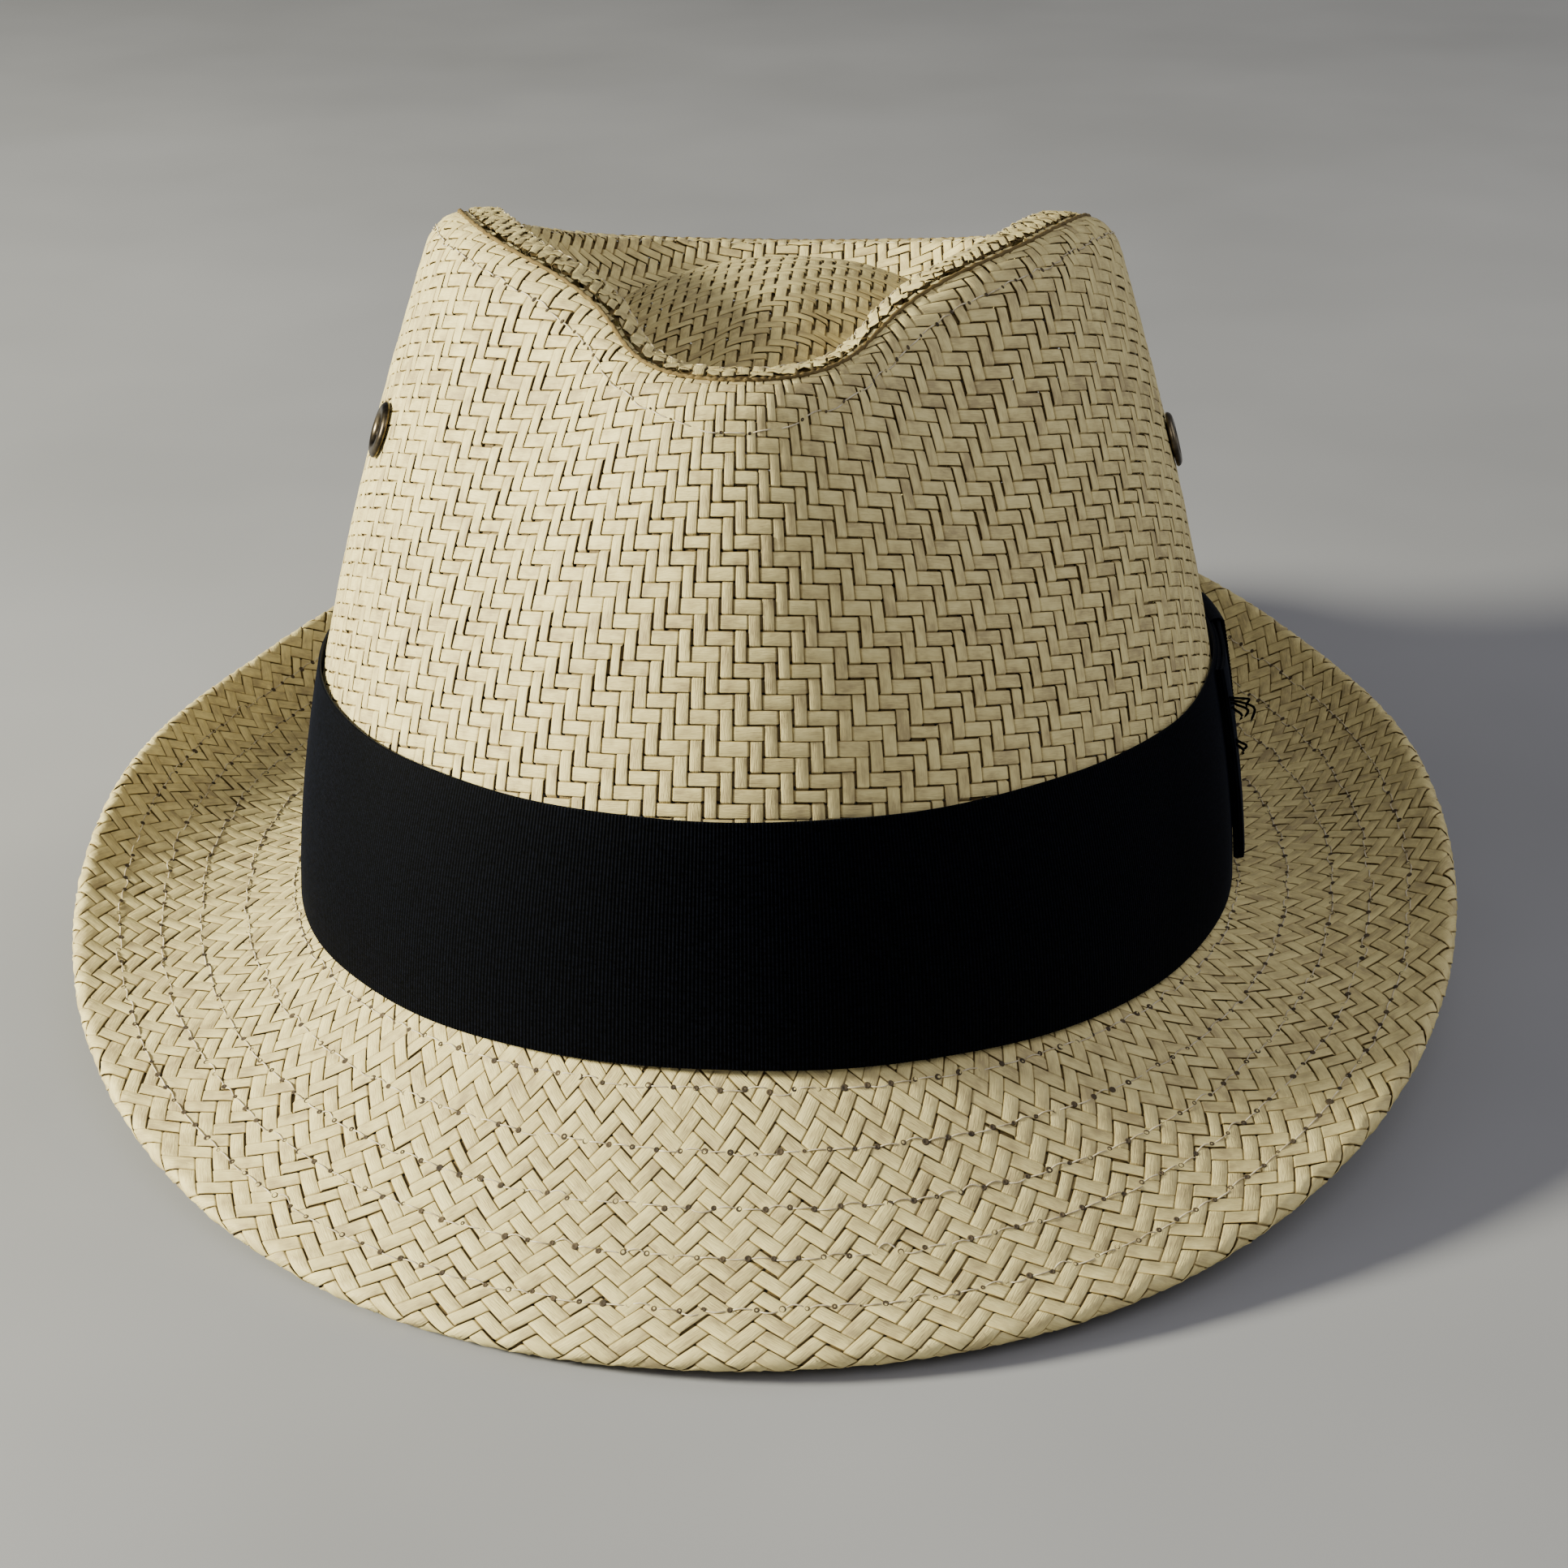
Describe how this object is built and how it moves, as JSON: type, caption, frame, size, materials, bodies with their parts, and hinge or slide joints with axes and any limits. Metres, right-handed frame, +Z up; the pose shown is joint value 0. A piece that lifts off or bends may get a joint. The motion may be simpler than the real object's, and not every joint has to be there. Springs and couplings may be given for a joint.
{
  "type": "fedora hat",
  "caption": "Woven paper-straw fedora with a pinched teardrop crown, a stitched brim turned up at the back, a black ribbon band with a flat bow, and brass eyelets.",
  "frame": {"origin": "on the surface the hat rests on, under the middle of its box", "axes": "+Z up, front of the hat towards -Y, wearer's left towards +X"},
  "size_m": [0.2456, 0.287, 0.1331],
  "materials": {
    "straw": "matte woven paper straw",
    "ribbon": "ribbed grosgrain",
    "thread": "twisted sewing thread",
    "lining_tape": "plain woven tape",
    "interlining": "stiffened mesh",
    "sweatband": "plain woven sweatband",
    "eyelet_metal": "antique, satin"
  },
  "bodies": {
    "root": {"crown_side": "straw", "crown_tip": "straw", "tip_seam_tape": "lining_tape", "crown_topstitch": "thread", "brim_upper": "straw", "brim_interlining": "interlining", "brim_lower": "straw", "brim_stitch_1": "thread", "brim_stitch_2": "thread", "brim_stitch_3": "thread", "brim_stitch_4": "thread", "brim_stitch_5": "thread", "hatband": "ribbon", "bow_loop_front": "ribbon", "bow_loop_rear": "ribbon", "bow_knot": "ribbon", "sweatband": "sweatband", "eyelet_right": "eyelet_metal", "eyelet_right_washer": "eyelet_metal", "eyelet_left": "eyelet_metal", "eyelet_left_washer": "eyelet_metal"}
  },
  "joints": []
}
